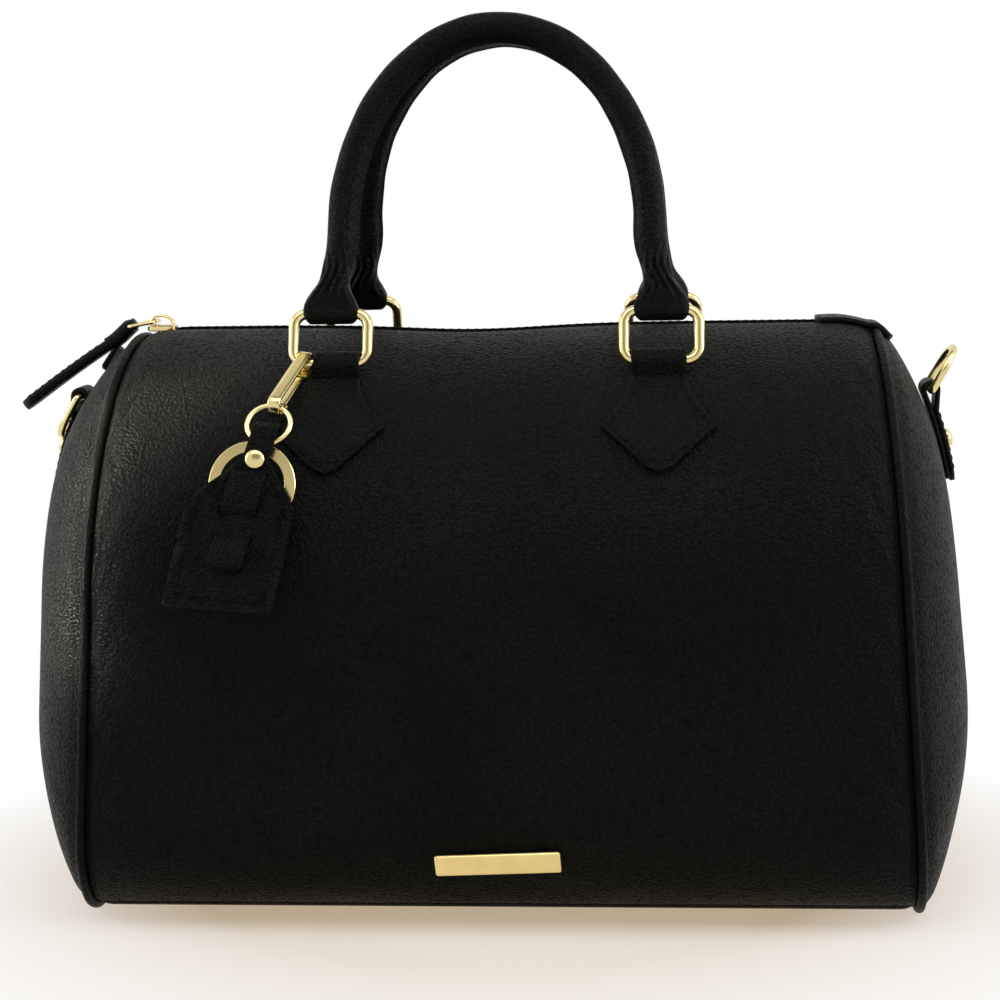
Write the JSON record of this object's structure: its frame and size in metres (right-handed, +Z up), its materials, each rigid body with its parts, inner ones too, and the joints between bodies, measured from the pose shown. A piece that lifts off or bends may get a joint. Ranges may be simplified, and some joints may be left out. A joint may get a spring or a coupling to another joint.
{
  "type": "barrel bag",
  "caption": "Soft barrel bag with a zip top, two rolled handles on rings, side rings, piped ends, a bare metal plate and a leather tag hanging from a spring clip.",
  "frame": {"origin": "middle of the flat underside", "axes": "+X to the right seen from the front, -Y towards the front with the metal plate, +Z up through the handles"},
  "size_m": [0.3472, 0.1847, 0.322],
  "materials": {
    "black_leather": "pebbled grain, semi-gloss",
    "board": "smooth matt",
    "lining_cloth": "plain woven cloth",
    "pale_gold": "polished pale gold plate",
    "zip_tape": "fine herringbone weave"
  },
  "bodies": {
    "bag": {"back_panel": "black_leather", "base_board": "board", "base_panel": "black_leather", "end_panel_left": "black_leather", "end_panel_right": "black_leather", "front_panel": "black_leather", "handle_tab_front_left": "black_leather", "handle_tab_front_right": "black_leather", "handle_tab_rear_left": "black_leather", "handle_tab_rear_right": "black_leather", "lining": "lining_cloth", "name_plate": "pale_gold", "piping_left": "black_leather", "piping_right": "black_leather", "side_stud_left": "pale_gold", "side_stud_right": "pale_gold", "side_tab_left": "black_leather", "side_tab_right": "black_leather", "zip_end_band_left_front": "black_leather", "zip_end_band_left_rear": "black_leather", "zip_end_band_right": "black_leather", "zip_end_chain_left": "pale_gold", "zip_end_chain_right": "pale_gold", "zip_end_tab_left": "black_leather", "zip_end_tab_right": "black_leather", "zip_end_tape_left": "zip_tape", "zip_end_tape_right": "zip_tape"},
    "zip_leaf_front": {"zip_band_front": "black_leather", "zip_tape_front": "zip_tape", "zip_teeth_front": "pale_gold"},
    "zip_leaf_rear": {"zip_band_rear": "black_leather", "zip_tape_rear": "zip_tape", "zip_teeth_rear": "pale_gold"},
    "slider": {"zip_slider": "pale_gold"},
    "link": {"pull_link": "pale_gold"},
    "puller": {"zip_puller": "black_leather"},
    "ring_front_left": {"handle_ring_front_left": "pale_gold"},
    "ring_front_right": {"handle_ring_front_right": "pale_gold"},
    "ring_rear_left": {"handle_ring_rear_left": "pale_gold"},
    "ring_rear_right": {"handle_ring_rear_right": "pale_gold"},
    "front_handle": {"handle_front": "black_leather"},
    "rear_handle": {"handle_rear": "black_leather"},
    "d_ring_left": {"side_ring_left": "pale_gold"},
    "d_ring_right": {"side_ring_right": "pale_gold"},
    "clip": {"tag_clip": "pale_gold"},
    "gate": {"clip_gate": "pale_gold"},
    "small_ring": {"tag_small_ring": "pale_gold"},
    "tag": {"tag_front": "black_leather", "tag_back": "black_leather", "tag_pocket_strap": "black_leather", "tag_rivet": "pale_gold"},
    "flat_ring": {"tag_flat_ring": "pale_gold"}
  },
  "joints": [
    {"name": "zip_front_open", "type": "hinge", "parent": "bag", "child": "zip_leaf_front", "pos_m": [0, -0.0305, 0.20241], "axis": [1, 0, 0], "range_deg": [0, 70]},
    {"name": "zip_rear_open", "type": "hinge", "parent": "bag", "child": "zip_leaf_rear", "pos_m": [0, 0.0305, 0.20241], "axis": [-1, 0, 0], "range_deg": [0, 70]},
    {"name": "zip_slide", "type": "slide", "parent": "bag", "child": "slider", "axis": [1, 0, 0], "range_m": [0, 0.236], "deforming": ["zip_puller"]},
    {"name": "link_turn", "type": "hinge", "parent": "slider", "child": "link", "pos_m": [-0.1306, 0, 0.2104], "axis": [0, 1, 0], "range_deg": [-2, 152]},
    {"name": "puller_turn", "type": "hinge", "parent": "link", "child": "puller", "pos_m": [-0.14074, 0, 0.21147], "axis": [0, 1, 0], "range_deg": [-2, 68]},
    {"name": "front_ring_left_turn", "type": "hinge", "parent": "bag", "child": "ring_front_left", "pos_m": [-0.0585, -0.04907, 0.19756], "axis": [1, 0, 0], "range_deg": [-1, 16]},
    {"name": "front_ring_right_turn", "type": "hinge", "parent": "bag", "child": "ring_front_right", "pos_m": [0.0585, -0.04907, 0.19756], "axis": [1, 0, 0], "range_deg": [-1.5, 16.5]},
    {"name": "front_handle_turn", "type": "hinge", "parent": "ring_front_left", "child": "front_handle", "pos_m": [0, -0.04278, 0.21485], "axis": [1, 0, 0], "range_deg": [-2, 125]},
    {"name": "rear_ring_left_turn", "type": "hinge", "parent": "bag", "child": "ring_rear_left", "pos_m": [-0.0585, 0.04907, 0.19756], "axis": [-1, 0, 0], "range_deg": [-1, 85]},
    {"name": "rear_ring_right_turn", "type": "hinge", "parent": "bag", "child": "ring_rear_right", "pos_m": [0.0585, 0.04907, 0.19756], "axis": [-1, 0, 0], "range_deg": [-1.5, 85.5]},
    {"name": "rear_handle_turn", "type": "hinge", "parent": "ring_rear_left", "child": "rear_handle", "pos_m": [0, 0.04278, 0.21485], "axis": [-1, 0, 0], "range_deg": [-2, 60]},
    {"name": "d_ring_left_swing", "type": "hinge", "parent": "bag", "child": "d_ring_left", "pos_m": [-0.15965, 0, 0.1827], "axis": [0, 1, 0], "range_deg": [0, 115]},
    {"name": "d_ring_right_swing", "type": "hinge", "parent": "bag", "child": "d_ring_right", "pos_m": [0.15626, 0, 0.18242], "axis": [0, 1, 0], "range_deg": [-10, 115]},
    {"name": "clip_swing", "type": "hinge", "parent": "bag", "child": "clip", "pos_m": [-0.0676, -0.04907, 0.19756], "axis": [-1, 0, 0], "range_deg": [0, 14]},
    {"name": "gate_open", "type": "hinge", "parent": "clip", "child": "gate", "pos_m": [-0.07299, -0.06584, 0.18514], "axis": [0.9681, -0.21, -0.1364], "range_deg": [0, 12], "stiffness_Nm_per_rad": 0.02, "springref_deg": -8.59},
    {"name": "small_ring_swing", "type": "hinge", "parent": "clip", "child": "small_ring", "pos_m": [-0.07444, -0.07234, 0.18481], "axis": [-0.978, 0.1337, 0.1604], "range_deg": [0, 25]},
    {"name": "tag_swing", "type": "hinge", "parent": "small_ring", "child": "tag", "pos_m": [-0.07758, -0.08173, 0.17354], "axis": [-0.9724, 0.0509, 0.2278], "range_deg": [0, 22]},
    {"name": "flat_ring_spin", "type": "hinge", "parent": "tag", "child": "flat_ring", "pos_m": [-0.08112, -0.08271, 0.15861], "axis": [0, -0.9759, 0.218], "continuous": true}
  ],
  "couplings": [
    {"joint": "link_turn", "follows": "zip_slide", "rad_per_m": 11.093},
    {"joint": "puller_turn", "follows": "zip_slide", "rad_per_m": 4.881},
    {"joint": "front_ring_right_turn", "follows": "front_ring_left_turn", "ratio": 1},
    {"joint": "rear_ring_right_turn", "follows": "rear_ring_left_turn", "ratio": 1}
  ]
}
